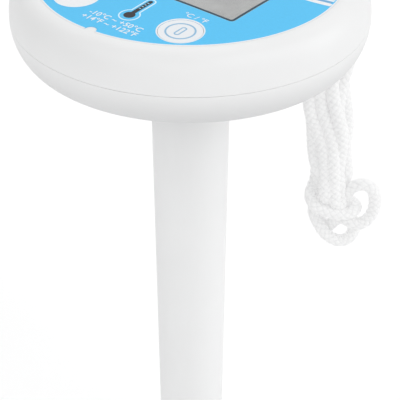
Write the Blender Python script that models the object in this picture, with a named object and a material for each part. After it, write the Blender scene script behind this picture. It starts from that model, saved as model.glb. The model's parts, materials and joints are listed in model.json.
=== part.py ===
"""A floating pool thermometer: a round float with a display, a ballasted stem and a tether cord.

Metres, +Z up. The origin is the middle of the stem's flat foot, and +Y is the way the face reads.
"""

import math

import bmesh
import bpy
from mathutils import Matrix, Vector

# Driving dimensions of the outside.
OVERALL_HEIGHT = 0.215
FLOAT_RADIUS = 0.055
FACE_RADIUS = 0.047
FACE_DOME = 0.0011
SEAM_HEIGHT = 0.202
UNDERSIDE_HEIGHT = 0.1906
UPPER_ROUNDNESS = 2.3
LOWER_ROUNDNESS = 1.855
LOWER_FLAT_RADIUS = 0.0485
STEM_TOP_RADIUS = 0.0127
STEM_FOOT_RADIUS = 0.011

# Walls, and the gap left between pieces that touch.
GAP = 0.0003
WALL = 0.0022
FILM = 0.00035
ROUND_STEPS = 40

# The face: display opening and key, measured from the middle of the face.
DISPLAY_WIDTH = 0.0603
DISPLAY_LOW = -0.0185
DISPLAY_HIGH = 0.017
DISPLAY_CORNER = 0.0011
KEY_X = 0.0223
KEY_Y = -0.0319
KEY_RADIUS = 0.0064
KEY_TRAVEL = 0.0008
KEY_FLANGE = 0.001
FLANGE_LOW = 0.2093
FLANGE_HIGH = 0.2100
PLUNGER_RADIUS = 0.0016
PLUNGER_PLAY = 0.0001
SEAL_TALL = 0.0004
NOTCH_Y = -0.0465
NOTCH_X = 0.0017
NOTCH_RADIUS = 0.0018

# The board and what it carries, from its underside up.
BOARD_RADIUS = 0.042
BOARD_LOW = 0.2046
BOARD_HIGH = 0.2062
CASE_SCREW_RADIUS = 0.040
CASE_SCREW_ANGLES = (15, 105, 195, 285)
BOARD_SCREW_PLACES = ((-0.026, -0.026), (0.026, 0.026), (-0.026, 0.026))
BOARD_NOTCH_RADIUS = 0.0046
BOARD_HOLE_RADIUS = 0.0012
BATTERY_RADIUS = 0.010
BATTERY_THICKNESS = 0.0032
BATTERY_Y = 0.022
BATTERY_EDGE = 0.0008
CLIP_THICKNESS = 0.0005
CLIP_WIDTH = 0.006
CHIP_RADIUS = 0.005
CHIP_TALL = 0.0017
CHIP_Y = -0.020
SWITCH_SIDE = 0.0052
SWITCH_CORNER = 0.0006
SWITCH_BODY_TOP = 0.2077
SWITCH_DOT_LOW = 0.2072
SWITCH_DOT_RADIUS = 0.0014
SWITCH_TOP = 0.2082

# The display panel in its frame, and the strip that joins it to the board.
PANEL_LOW = 0.2092
PANEL_HIGH = 0.2112
PANEL_SHORT = 0.0002
PANEL_CORNER = 0.0008
FRAME_THICKNESS = 0.0019
FRAME_CORNER = 0.002
STRIP_SIZE = (0.050, 0.0022)
STRIP_CORNER = 0.0003
STRIP_PLACE = 0.0035

# The stem and its end cap.
NECK_RADIUS = 0.0099
NECK_TOP = 0.199
NECK_WALL = 0.0018
STEM_SHOULDER = 0.1894
STEM_BOTTOM = 0.027
STEM_BORE = 0.0094
BORE_TAPER = 0.0012
TAPER_LOW = 0.005
TAPER_HIGH = 0.002
STEM_SEAL_RADIUS = 0.0121
NUT_RADIUS = 0.015
NUT_TOP = 0.1984
PLUG_TOP = 0.036
PLUG_BORE = 0.004
CAP_EDGE = 0.0012
CAP_FLOOR = 0.003
CAP_CEILING = 0.022
CAP_CAVITY_RADIUS = 0.0085
CAP_SLOTS = 6
SLOT_MIDDLE = 0.0125
SLOT_SIZE = (0.014, 0.003)
SLOT_CORNER = 0.0014
SLOT_REACH = 0.020
GROOVE_LOW = 0.0300
GROOVE_HIGH = 0.0322
GROOVE_RADIUS = 0.0077
SEAL_RING_RADIUS = 0.00853
SEAL_RING_HALF = 0.00058
BALLAST_RADIUS = 0.0091
BALLAST_BORE = 0.0034
BALLAST_TOP = 0.0765
BALLAST_CHAMFER = 0.0005
PROBE_RADIUS = 0.0023
PROBE_LOW = 0.0072
PROBE_TOP = 0.037
GROMMET_BORE = 0.0026
GROMMET_RADIUS = 0.0037
GROMMET_FLANGE = 0.0052
GROMMET_LOW = 0.0206
GROMMET_STEP = 0.0217
GROMMET_TOP = 0.0352
LEAD_RADIUS = 0.0006
LEAD_SPACING = 0.012

# Places along one lead: to its side of the axis, along Y, and height.
LEAD_ROUTE = (
    (0.0011, 0, 0.0373),
    (0.0011, 0, 0.078),
    (0.0014, 0.002, 0.12),
    (0.0012, -0.002, 0.16),
    (0.0016, 0, 0.196),
    (0.0025, 0, 0.2043),
)

# The tether cord: its eye, its hank and the loops below it.
CORD_RADIUS = 0.002
EYE_ANGLE = math.radians(60)
EYE_HEIGHT = 0.185
EYE_INNER = 0.047
EYE_OUTER = 0.051
EYE_SIZE = (0.009, 0.016)
EYE_CORNER = 0.004
EYE_RAISE = 0.0035
EYE_HOLE_RADIUS = 0.0028
EYE_HOLE_REACH = 0.006
TRIM_SIDE = 0.02
TRIM_CORNER = 0.001
TRIM_SINK = 0.0005
HANK_CENTRE_RADIUS = 0.0507
HANK_ACROSS_ANGLE = math.radians(39)
HANK_TOP = 0.1797
HANK_BOTTOM = 0.1265
HANK_WIDTH = 0.016
HANK_DEPTH = 0.012
HANK_SHIFT = -0.0008
HANK_ROUNDING = 0.0035
KNOT_PLACE = (0.001, 0, 0.1188)
KNOT_HALF_SIZES = (0.0088, 0.0065, 0.0073)
END_KNOT_RADIUS = 0.004
END_KNOT_GAP = 0.0007

# Bends of the lead: distance from the axis and height.
LEAD_BENDS = ((0.0532, 0.1841), (0.0542, 0.1817))

# Points of the cord below the hank: across it, away behind it, and height.
SIDE_LOOP = (
    (0.0088, -0.0027, 0.1240),
    (0.0102, -0.0031, 0.1269),
    (0.0126, -0.0033, 0.1282),
    (0.0156, -0.0032, 0.1262),
    (0.0170, -0.0028, 0.1209),
    (0.0166, -0.0025, 0.1153),
    (0.0146, -0.0027, 0.1123),
    (0.0122, -0.0030, 0.1119),
    (0.0104, -0.0028, 0.1124),
)
BOTTOM_LOOP = (
    (0.0100, 0.0019, 0.1113),
    (0.0108, 0.0014, 0.1086),
    (0.0110, 0.0005, 0.1051),
    (0.0087, -0.0004, 0.1030),
    (0.0049, -0.0003, 0.1018),
    (0.0007, -0.0002, 0.1041),
    (-0.0023, 0.0003, 0.1087),
    (-0.0033, 0.0010, 0.1099),
)
TAIL = (
    (0.0016, 0.0035, 0.1092),
    (0.0007, 0.0044, 0.1068),
    (-0.0005, 0.0050, 0.1050),
    (-0.0017, 0.0059, 0.1048),
    (-0.0020, 0.0070, 0.1062),
    (-0.0017, 0.0080, 0.1080),
)
END_KNOT = (-0.0010, 0.0094, 0.1127)
LOOP_SPACING = 0.003
LEAD_OUT_SPACING = 0.0016


def clear_scene():
    """Remove every object, so that the model starts from nothing."""
    for old in list(bpy.data.objects):
        bpy.data.objects.remove(old, do_unlink=True)


def make_material(name, colour, roughness, metallic=0.0, alpha=1.0):
    """A plain surface in one colour."""
    material = bpy.data.materials.new(name)
    material.use_nodes = True
    shader = material.node_tree.nodes["Principled BSDF"]
    shader.inputs["Base Color"].default_value = (*colour, 1.0)
    shader.inputs["Roughness"].default_value = roughness
    shader.inputs["Metallic"].default_value = metallic
    shader.inputs["Alpha"].default_value = alpha
    material.diffuse_color = (*colour, alpha)
    return material


def place(name, mesh, material, location=(0, 0, 0)):
    """Link a mesh as a named object with smooth round sides and crisp edges."""
    mesh.materials.append(material)
    mesh.shade_smooth()
    mesh.set_sharp_from_angle(angle=math.radians(35))
    piece = bpy.data.objects.new(name, mesh)
    piece.location = location
    bpy.context.scene.collection.objects.link(piece)
    return piece


def finish_mesh(name, shape):
    """Close a bmesh's seams, face its walls outward and turn it into a mesh."""
    bmesh.ops.remove_doubles(shape, verts=shape.verts, dist=1e-6)
    bmesh.ops.recalc_face_normals(shape, faces=shape.faces)
    mesh = bpy.data.meshes.new(name)
    shape.to_mesh(mesh)
    shape.free()
    return mesh


def turned(name, profile, material, steps=ROUND_STEPS, location=(0, 0, 0)):
    """A closed profile of (radius, height) points, spun once round the Z axis."""
    shape = bmesh.new()
    points = [shape.verts.new((radius, 0, height)) for radius, height in profile]
    edges = [shape.edges.new((a, b)) for a, b in zip(points, points[1:])]
    if profile[0][0] > 0 or profile[-1][0] > 0:
        edges.append(shape.edges.new((points[-1], points[0])))
    bmesh.ops.spin(
        shape,
        geom=points + edges,
        axis=(0, 0, 1),
        cent=(0, 0, 0),
        steps=steps,
        angle=math.tau,
        use_merge=True,
    )
    return place(name, finish_mesh(name, shape), material, location)


def add_rod(shape, x, y, low, high, radius, steps):
    """Add one upright cylinder to a bmesh."""
    bmesh.ops.create_cone(
        shape,
        cap_ends=True,
        segments=steps,
        radius1=radius,
        radius2=radius,
        depth=high - low,
        matrix=Matrix.Translation((x, y, (low + high) / 2)),
    )


def rods(name, places, low, high, radius, material, steps=12):
    """Upright cylinders of one size, in one object, at each (x, y) place."""
    shape = bmesh.new()
    for x, y in places:
        add_rod(shape, x, y, low, high, radius, steps)
    return place(name, finish_mesh(name, shape), material)


def rounded_outline(width, height, corner, steps=3):
    """The corners of a rounded rectangle, anticlockwise round its middle."""
    points = []
    for quarter in range(4):
        side_x = (1, -1, -1, 1)[quarter]
        side_y = (1, 1, -1, -1)[quarter]
        for step in range(steps + 1):
            angle = math.radians(90 * (quarter + step / steps))
            x = side_x * (width / 2 - corner) + corner * math.cos(angle)
            y = side_y * (height / 2 - corner) + corner * math.sin(angle)
            points.append((x, y))
    return points


def box_outline(width, height):
    """The four corners of a rectangle, anticlockwise round its middle."""
    return [(x * width / 2, y * height / 2) for x, y in ((1, 1), (-1, 1), (-1, -1), (1, -1))]


def prism(name, outline, depth, material, matrix=None):
    """An outline in the XY plane, extruded up by depth and then moved by a matrix."""
    shape = bmesh.new()
    face = shape.faces.new([shape.verts.new((x, y, 0)) for x, y in outline])
    grown = bmesh.ops.extrude_face_region(shape, geom=[face])
    top = [item for item in grown["geom"] if isinstance(item, bmesh.types.BMVert)]
    bmesh.ops.translate(shape, verts=top, vec=(0, 0, depth))
    if matrix is not None:
        bmesh.ops.transform(shape, matrix=matrix, verts=shape.verts)
    return place(name, finish_mesh(name, shape), material)


def plate(name, width, height, corner, low, high, material, centre=(0, 0)):
    """A flat rounded plate between two heights."""
    move = Matrix.Translation((centre[0], centre[1], low))
    return prism(name, rounded_outline(width, height, corner), high - low, material, move)


def as_cutter(piece):
    """Mark an object that only shapes others."""
    piece.hide_render = True
    piece.display_type = "WIRE"
    return piece


def combine(target, tool, operation):
    """Add a Boolean step to a piece."""
    step = target.modifiers.new(operation.title(), "BOOLEAN")
    step.operation = operation
    step.solver = "EXACT"
    step.object = as_cutter(tool)


def quarter_curve(outer, inner, start, end, roundness, steps):
    """Points of a rounded side, from (outer, start) to (inner, end)."""
    points = []
    for step in range(steps + 1):
        angle = math.pi / 2 * step / steps
        across = max(math.cos(angle), 0.0) ** (2 / roundness)
        along = math.sin(angle) ** (2 / roundness)
        points.append((inner + (outer - inner) * across, start + (end - start) * along))
    return points


def face_height(radius, drop=0.0):
    """Height of the domed face at a radius, less a drop."""
    rise = FACE_DOME * (1 - (radius / FACE_RADIUS) ** 2)
    return OVERALL_HEIGHT - FACE_DOME + rise - drop


def dome_points(edge, drop, steps=3):
    """Points of the dome from its edge to its middle, a drop below the face."""
    radii = [edge * (1 - step / steps) for step in range(steps + 1)]
    return [(radius, face_height(radius, drop)) for radius in radii]


def on_circle(radius, degrees):
    """A place on a circle round the Z axis."""
    angle = math.radians(degrees)
    return (radius * math.cos(angle), radius * math.sin(angle))


CASE_SCREW_PLACES = [on_circle(CASE_SCREW_RADIUS, angle) for angle in CASE_SCREW_ANGLES]
PLATE_DROP = FILM + GAP
INNER_SIDE = FLOAT_RADIUS - 0.003
GASKET_SIDE = FLOAT_RADIUS - 0.0011
REBATE_HALF = 0.0011
GASKET_HALF_WIDE = 0.0007
GASKET_HALF_TALL = 0.0008
CEILING_EDGE = 0.0446
FLOOR_HEIGHT = UNDERSIDE_HEIGHT + WALL
DISPLAY_MIDDLE = (DISPLAY_LOW + DISPLAY_HIGH) / 2
DISPLAY_TALL = DISPLAY_HIGH - DISPLAY_LOW

# Openings in the face are cut from below its plate to above it.
OPENING_LOW = 0.205
OPENING_HIGH = 0.220
WINDOW_LOW = 0.2116

# Screw bosses under the face plate, tubes up from the underside, and the holes in them.
BOSS_TOP = 0.2125
CASE_BOSS_RADIUS = 0.0034
BOARD_BOSS_RADIUS = 0.0026
PILOT_LOW = 0.200
CASE_PILOT_TOP = 0.2095
CASE_PILOT_RADIUS = 0.0016
BOARD_PILOT_TOP = 0.2105
BOARD_PILOT_RADIUS = 0.0011
TUBE_RADIUS = 0.0042
TUBE_START = 0.001
SHANK_HOLE_RADIUS = 0.0017
SHANK_HOLE_TOP = 0.204
SINK_RADIUS = 0.0029
SINK_DEPTH = 0.004
BELOW_FLOAT = 0.188

# Screws: head radius, head height, shank radius and the height of their tips.
CASE_SCREW = (0.0025, 0.0018, 0.0013, 0.2085)
BOARD_SCREW = (0.0019, 0.0013, 0.0008, 0.2098)


def display_cutter(name, border, material):
    """A tall block through the display opening, wider than it by a border all round."""
    return plate(
        name,
        DISPLAY_WIDTH + 2 * border,
        DISPLAY_TALL + 2 * border,
        DISPLAY_CORNER + border,
        OPENING_LOW,
        OPENING_HIGH,
        material,
        (0, DISPLAY_MIDDLE),
    )


def key_cutter(name, material):
    """A tall cylinder through the key's hole."""
    return rods(name, [(KEY_X, KEY_Y)], OPENING_LOW, OPENING_HIGH, KEY_RADIUS + GAP, material, 32)


def make_upper_shell(material):
    """The top half of the float, with its face plate, openings and inside bosses."""
    seam = SEAM_HEIGHT + GAP / 2
    rebate = SEAM_HEIGHT + REBATE_HALF
    rim_edge = FACE_RADIUS + GAP
    face_edge = OVERALL_HEIGHT - FACE_DOME
    outside = quarter_curve(FLOAT_RADIUS, rim_edge, seam, face_edge, UPPER_ROUNDNESS, 7)
    ceiling = dome_points(CEILING_EDGE, PLATE_DROP + WALL, 2)
    ceiling_edge = ceiling[0][1]
    inside = quarter_curve(INNER_SIDE, CEILING_EDGE, rebate, ceiling_edge, UPPER_ROUNDNESS, 4)
    profile = ceiling[::-1] + inside[-2::-1]
    profile += [(GASKET_SIDE, rebate), (GASKET_SIDE, seam)]
    profile += outside + dome_points(rim_edge, PLATE_DROP)
    shell = turned("upper_shell", profile, material)
    case_bosses = rods("case_bosses", CASE_SCREW_PLACES, seam, BOSS_TOP, CASE_BOSS_RADIUS, material)
    low = BOARD_HIGH + GAP
    board_bosses = rods("board_bosses", BOARD_SCREW_PLACES, low, BOSS_TOP, BOARD_BOSS_RADIUS, material)
    combine(shell, case_bosses, "UNION")
    combine(shell, board_bosses, "UNION")
    places = CASE_SCREW_PLACES
    pilots = rods("case_pilots", places, PILOT_LOW, CASE_PILOT_TOP, CASE_PILOT_RADIUS, material)
    places = BOARD_SCREW_PLACES
    board_pilots = rods("board_pilots", places, PILOT_LOW, BOARD_PILOT_TOP, BOARD_PILOT_RADIUS, material)
    combine(shell, pilots, "DIFFERENCE")
    combine(shell, board_pilots, "DIFFERENCE")
    combine(shell, key_cutter("key_hole", material), "DIFFERENCE")
    combine(shell, display_cutter("shell_display_hole", GAP, material), "DIFFERENCE")


def make_cord_eye(material):
    """The solid tab under the rim that the cord ties to, and the hole through it."""
    outline = rounded_outline(*EYE_SIZE, EYE_CORNER)
    middle = (EYE_INNER + EYE_OUTER) / 2
    stand = Matrix.Rotation(math.pi / 2, 4, "Y") @ Matrix.Rotation(math.pi / 2, 4, "Z")
    turn = Matrix.Rotation(EYE_ANGLE, 4, "Z")
    thick = EYE_OUTER - EYE_INNER
    tab_move = Matrix.Translation((middle - thick / 2, 0, EYE_HEIGHT + EYE_RAISE))
    tab = prism("eye_tab", outline, thick, material, turn @ tab_move @ stand)
    low = FLOOR_HEIGHT - TRIM_SINK
    trim = plate("eye_trim", TRIM_SIDE, TRIM_SIDE, TRIM_CORNER, low, PILOT_LOW, material, (middle, 0))
    trim.matrix_world = turn
    combine(tab, trim, "DIFFERENCE")
    shape = bmesh.new()
    add_rod(shape, 0, 0, -EYE_HOLE_REACH, EYE_HOLE_REACH, EYE_HOLE_RADIUS, 20)
    hole_move = Matrix.Translation((middle, 0, EYE_HEIGHT)) @ Matrix.Rotation(math.pi / 2, 4, "Y")
    bmesh.ops.transform(shape, matrix=turn @ hole_move, verts=shape.verts)
    hole = place("eye_hole", finish_mesh("eye_hole", shape), material)
    return tab, hole


def make_lower_shell(material):
    """The bottom half of the float, with the stem's hole, screw tubes and the cord's eye."""
    seam = SEAM_HEIGHT - GAP / 2
    rebate = SEAM_HEIGHT - REBATE_HALF
    hole = NECK_RADIUS + GAP
    outside = quarter_curve(FLOAT_RADIUS, LOWER_FLAT_RADIUS, seam, UNDERSIDE_HEIGHT, LOWER_ROUNDNESS, 7)
    floor_edge = LOWER_FLAT_RADIUS - WALL
    inside = quarter_curve(INNER_SIDE, floor_edge, rebate, FLOOR_HEIGHT, LOWER_ROUNDNESS, 4)
    profile = outside + [(hole, UNDERSIDE_HEIGHT), (hole, FLOOR_HEIGHT)]
    profile += inside[::-1] + [(GASKET_SIDE, rebate), (GASKET_SIDE, seam)]
    shell = turned("lower_shell", profile, material)
    places = CASE_SCREW_PLACES
    tubes = rods("screw_tubes", places, UNDERSIDE_HEIGHT + TUBE_START, seam, TUBE_RADIUS, material)
    tab, eye_hole = make_cord_eye(material)
    combine(shell, tubes, "UNION")
    combine(shell, tab, "UNION")
    shanks = rods("screw_holes", places, BELOW_FLOAT, SHANK_HOLE_TOP, SHANK_HOLE_RADIUS, material)
    heads = rods("screw_sinks", places, BELOW_FLOAT, UNDERSIDE_HEIGHT + SINK_DEPTH, SINK_RADIUS, material)
    combine(shell, heads, "DIFFERENCE")
    combine(shell, shanks, "DIFFERENCE")
    combine(shell, eye_hole, "DIFFERENCE")


def ring(name, middle, height, half_wide, half_tall, material, sides=6, steps=32):
    """A turned ring with a rounded section."""
    profile = []
    for side in range(sides):
        angle = math.tau * (side + 0.5) / sides
        profile.append((middle + half_wide * math.cos(angle), height + half_tall * math.sin(angle)))
    return turned(name, profile, material, steps)


def make_screw(name, x, y, head_low, size, material):
    """A pan-head screw with its head down and a slot in it."""
    head_radius, head_tall, shank_radius, top = size
    head_top = head_low + head_tall
    flat_radius = head_radius * 0.8
    round_top = head_low + head_tall * 0.3
    profile = [(0, head_low), (flat_radius, head_low), (head_radius, round_top)]
    profile += [(head_radius, head_top), (shank_radius, head_top), (shank_radius, top - shank_radius)]
    profile += [(0, top)]
    screw = turned(name, profile, material, 14, (x, y, 0))
    slot_long = head_radius * 2.6
    slot_wide = head_radius * 0.3
    slot_deep = head_tall * 0.45
    start = head_tall / 2
    bar = prism(f"{name}_slot", box_outline(slot_long, slot_wide), start + slot_deep, material)
    bar.location = (x, y, head_low - start)
    combine(screw, bar, "DIFFERENCE")


def make_face(white, blue, clear, rubber):
    """The printed film, the clear window and the key."""
    film_profile = dome_points(FACE_RADIUS, FILM)[::-1] + dome_points(FACE_RADIUS, 0)
    film = turned("face_label", film_profile, blue)
    combine(film, display_cutter("film_display_hole", GAP, blue), "DIFFERENCE")
    notch = rods("film_notch", [(NOTCH_X, NOTCH_Y)], OPENING_LOW, OPENING_HIGH, NOTCH_RADIUS, blue)
    combine(film, key_cutter("film_key_hole", blue), "DIFFERENCE")
    combine(film, notch, "DIFFERENCE")

    slab = [(0, WINDOW_LOW), (FACE_RADIUS, WINDOW_LOW)] + dome_points(FACE_RADIUS, 0)
    window = turned("display_window", slab, clear)
    combine(window, display_cutter("window_outline", 0, clear), "INTERSECT")

    plunger_low = SWITCH_TOP + KEY_TRAVEL + PLUNGER_PLAY
    flange_radius = KEY_RADIUS + KEY_FLANGE
    profile = [(0, plunger_low), (PLUNGER_RADIUS, plunger_low), (PLUNGER_RADIUS, FLANGE_LOW)]
    profile += [(flange_radius, FLANGE_LOW), (flange_radius, FLANGE_HIGH)]
    profile += [(KEY_RADIUS, FLANGE_HIGH), (KEY_RADIUS, OPENING_HIGH), (0, OPENING_HIGH)]
    key = turned("button_cap", profile, white, 32, (KEY_X, KEY_Y, 0))
    dome = [(0, OPENING_LOW), (FACE_RADIUS, OPENING_LOW)] + dome_points(FACE_RADIUS, 0, 6)
    combine(key, turned("key_dome", dome, white), "INTERSECT")
    seal_in = KEY_RADIUS + GAP
    seal_low = FLANGE_HIGH + GAP
    seal_high = seal_low + SEAL_TALL
    seal = [(seal_in, seal_low), (flange_radius, seal_low), (flange_radius, seal_high), (seal_in, seal_high)]
    turned("button_seal", seal, rubber, 32, (KEY_X, KEY_Y, 0))


def make_board(material):
    """The round circuit board, cut away round the case bosses."""
    board = rods("circuit_board", [(0, 0)], BOARD_LOW, BOARD_HIGH, BOARD_RADIUS, material, ROUND_STEPS)
    low = BOARD_LOW - WALL
    high = BOARD_HIGH + WALL
    notches = rods("board_notches", CASE_SCREW_PLACES, low, high, BOARD_NOTCH_RADIUS, material)
    screw_holes = rods("board_holes", BOARD_SCREW_PLACES, low, high, BOARD_HOLE_RADIUS, material)
    combine(board, notches, "DIFFERENCE")
    combine(board, screw_holes, "DIFFERENCE")


def make_display(white, glass, rubber):
    """The panel in its frame, standing on the board over its contact strip."""
    middle = (0, DISPLAY_MIDDLE)
    base = BOARD_HIGH + GAP
    width = DISPLAY_WIDTH - 2 * PANEL_SHORT
    tall = DISPLAY_TALL - 2 * PANEL_SHORT
    room = 2 * GAP
    border = room + 2 * FRAME_THICKNESS
    frame = plate(
        "display_frame", width + border, tall + border, FRAME_CORNER, base, PANEL_HIGH, white, middle
    )
    low = BOARD_LOW - WALL
    inner = plate(
        "frame_inside", width + room, tall + room, PANEL_CORNER + GAP, low, OPENING_HIGH, white, middle
    )
    combine(frame, inner, "DIFFERENCE")
    plate("display_glass", width, tall, PANEL_CORNER, PANEL_LOW, PANEL_HIGH, glass, middle)
    strip_middle = (0, DISPLAY_LOW + STRIP_PLACE)
    strip_high = PANEL_LOW - GAP
    plate("display_contact_strip", *STRIP_SIZE, STRIP_CORNER, base, strip_high, rubber, strip_middle)


def make_board_parts(metal, black):
    """The switch under the key, the potted chip, and the battery in its clip."""
    key_place = (KEY_X, KEY_Y)
    base = BOARD_HIGH + GAP
    side = SWITCH_SIDE
    switch = plate("button_switch", side, side, SWITCH_CORNER, base, SWITCH_BODY_TOP, black, key_place)
    dot = rods("switch_dot", [key_place], SWITCH_DOT_LOW, SWITCH_TOP, SWITCH_DOT_RADIUS, black)
    combine(switch, dot, "UNION")

    under = BOARD_LOW - GAP
    blob = quarter_curve(CHIP_RADIUS, 0, under, under - CHIP_TALL, 2, 4)
    blob[-1] = (0, blob[-1][1])
    turned("chip_cover", [(0, under)] + blob, black, 20, (0, CHIP_Y, 0))

    cell_low = under - BATTERY_THICKNESS
    step = cell_low + BATTERY_EDGE / 2
    cell = [(0, cell_low), (BATTERY_RADIUS - BATTERY_EDGE, cell_low), (BATTERY_RADIUS, step)]
    cell += [(BATTERY_RADIUS, under), (0, under)]
    turned("battery_cell", cell, metal, 32, (0, BATTERY_Y, 0))
    leg_in = BATTERY_RADIUS + GAP
    leg_out = leg_in + CLIP_THICKNESS
    sole = cell_low - GAP
    foot = sole - CLIP_THICKNESS
    outline = [(-leg_out, foot), (leg_out, foot), (leg_out, under)]
    outline += [(leg_in, under), (leg_in, sole), (-leg_in, sole)]
    outline += [(-leg_in, under), (-leg_out, under)]
    upright = Matrix.Rotation(math.pi / 2, 4, "X")
    middle = Matrix.Translation((0, BATTERY_Y + CLIP_WIDTH / 2, 0))
    prism("battery_clip", outline, CLIP_WIDTH, metal, middle @ upright)


def make_stem(white, rubber, steel):
    """The tapered stem, its nut and seal, and the ballast inside it."""
    neck_bore = NECK_RADIUS - NECK_WALL
    profile = [(STEM_BORE, STEM_BOTTOM), (STEM_FOOT_RADIUS, STEM_BOTTOM)]
    profile += [(STEM_TOP_RADIUS, STEM_SHOULDER), (NECK_RADIUS, STEM_SHOULDER)]
    profile += [(NECK_RADIUS, NECK_TOP), (neck_bore, NECK_TOP)]
    profile += [(neck_bore, STEM_SHOULDER - TAPER_HIGH), (STEM_BORE + BORE_TAPER, STEM_SHOULDER - TAPER_LOW)]
    turned("stem_tube", profile, white, 36)

    low = STEM_SHOULDER + GAP
    high = UNDERSIDE_HEIGHT - GAP
    inner = NECK_RADIUS + GAP
    outer = STEM_SEAL_RADIUS
    turned("stem_gasket", [(inner, low), (outer, low), (outer, high), (inner, high)], rubber, 32)
    nut = rods("stem_nut", [(0, 0)], FLOOR_HEIGHT + GAP, NUT_TOP, NUT_RADIUS, white, 6)
    nut_hole = rods("nut_hole", [(0, 0)], UNDERSIDE_HEIGHT, OPENING_LOW, inner, white, 32)
    combine(nut, nut_hole, "DIFFERENCE")

    bottom = PLUG_TOP + GAP
    shoulder = BALLAST_RADIUS - BALLAST_CHAMFER
    weight = [(BALLAST_BORE, bottom), (shoulder, bottom), (BALLAST_RADIUS, bottom + BALLAST_CHAMFER)]
    weight += [(BALLAST_RADIUS, BALLAST_TOP - 2 * BALLAST_CHAMFER), (shoulder, BALLAST_TOP)]
    weight += [(BALLAST_BORE, BALLAST_TOP)]
    turned("ballast_weight", weight, steel, 32)


def make_end_cap(white, rubber):
    """The slotted cap that plugs the stem's foot, and its seal."""
    plug = STEM_BORE - GAP
    cap_top = STEM_BOTTOM - GAP
    chamfer = CAP_EDGE * 0.3
    cap = [(0, 0), (STEM_FOOT_RADIUS - CAP_EDGE, 0), (STEM_FOOT_RADIUS - chamfer, chamfer)]
    cap += [(STEM_FOOT_RADIUS, CAP_EDGE), (STEM_FOOT_RADIUS, cap_top), (plug, cap_top)]
    cap += [(plug, GROOVE_LOW), (GROOVE_RADIUS, GROOVE_LOW)]
    cap += [(GROOVE_RADIUS, GROOVE_HIGH), (plug, GROOVE_HIGH), (plug, PLUG_TOP)]
    cap += [(PLUG_BORE, PLUG_TOP), (PLUG_BORE, CAP_CEILING), (CAP_CAVITY_RADIUS, CAP_CEILING)]
    cap += [(CAP_CAVITY_RADIUS, CAP_FLOOR), (0, CAP_FLOOR)]
    end_cap = turned("stem_end_cap", cap, white, 36)
    outline = rounded_outline(*SLOT_SIZE, SLOT_CORNER, 2)
    stand = Matrix.Translation((-SLOT_REACH, 0, SLOT_MIDDLE)) @ Matrix.Rotation(math.pi / 2, 4, "Y")
    for number in range(CAP_SLOTS // 2):
        turn = Matrix.Rotation(math.tau * number / CAP_SLOTS, 4, "Z")
        slot = prism(f"cap_slot_{number}", outline, 2 * SLOT_REACH, white, turn @ stand)
        combine(end_cap, slot, "DIFFERENCE")
    height = (GROOVE_LOW + GROOVE_HIGH) / 2
    ring("end_cap_seal", SEAL_RING_RADIUS, height, SEAL_RING_HALF, SEAL_RING_HALF, rubber)


def make_probe(metal, grey):
    """The round-tipped probe and the grommet that holds it in the cap."""
    sleeve = [(GROMMET_BORE, GROMMET_LOW), (GROMMET_FLANGE, GROMMET_LOW)]
    sleeve += [(GROMMET_FLANGE, GROMMET_STEP), (GROMMET_RADIUS, GROMMET_STEP)]
    sleeve += [(GROMMET_RADIUS, GROMMET_TOP), (GROMMET_BORE, GROMMET_TOP)]
    turned("sensor_grommet", sleeve, grey, 24)
    tip = quarter_curve(PROBE_RADIUS, 0, PROBE_LOW + PROBE_RADIUS, PROBE_LOW, 2, 4)
    tip[-1] = (0, tip[-1][1])
    turned("sensor_probe", [(0, PROBE_TOP), (PROBE_RADIUS, PROBE_TOP)] + tip, metal, 24)


def smooth_route(points, spacing):
    """Evenly spaced points of a smooth curve through the route's own points."""
    ends = [points[0] * 2 - points[1]] + list(points) + [points[-1] * 2 - points[-2]]
    fine = []
    for a, b, c, d in zip(ends, ends[1:], ends[2:], ends[3:]):
        for step in range(20):
            t = step / 20
            pull = (c - a) * t + (a * 2 - b * 5 + c * 4 - d) * t**2 + (b * 3 - a - c * 3 + d) * t**3
            fine.append(b + pull / 2)
    fine.append(points[-1])
    total = sum((b - a).length for a, b in zip(fine, fine[1:]))
    count = max(2, round(total / spacing))
    even = [fine[0]]
    walked = 0.0
    for a, b in zip(fine, fine[1:]):
        walked += (b - a).length
        if walked >= total / count * len(even) and len(even) < count:
            even.append(b)
    even.append(fine[-1])
    return even


def tube(name, route, radius, material, spacing, resolution=2):
    """A round tube with flat ends along a route."""
    curve = bpy.data.curves.new(name, "CURVE")
    curve.dimensions = "3D"
    curve.bevel_depth = radius
    curve.bevel_resolution = resolution
    curve.use_fill_caps = True
    spline = curve.splines.new("POLY")
    points = smooth_route([Vector(point) for point in route], spacing)
    spline.points.add(len(points) - 1)
    for slot, point in zip(spline.points, points):
        slot.co = (*point, 1.0)
    curve.materials.append(material)
    piece = bpy.data.objects.new(name, curve)
    bpy.context.scene.collection.objects.link(piece)
    return piece


def make_leads(material):
    """The two insulated leads from the probe, up through the stem to the board."""
    for number, side in enumerate((-1, 1)):
        route = [(side * x, y, height) for x, y, height in LEAD_ROUTE]
        tube(f"sensor_lead_{number + 1}", route, LEAD_RADIUS, material, LEAD_SPACING)


def hank_point(across, away, height):
    """A point by its place across the hank, away behind it, and its height."""
    centre = on_circle(HANK_CENTRE_RADIUS, math.degrees(EYE_ANGLE))
    side = Vector((math.cos(HANK_ACROSS_ANGLE), math.sin(HANK_ACROSS_ANGLE), 0))
    back = Vector((-math.sin(HANK_ACROSS_ANGLE), math.cos(HANK_ACROSS_ANGLE), 0))
    return Vector((*centre, height)) + side * across + back * away


def eye_point(radius, height):
    """A point straight out from the axis through the cord's eye."""
    return (radius * math.cos(EYE_ANGLE), radius * math.sin(EYE_ANGLE), height)


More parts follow.
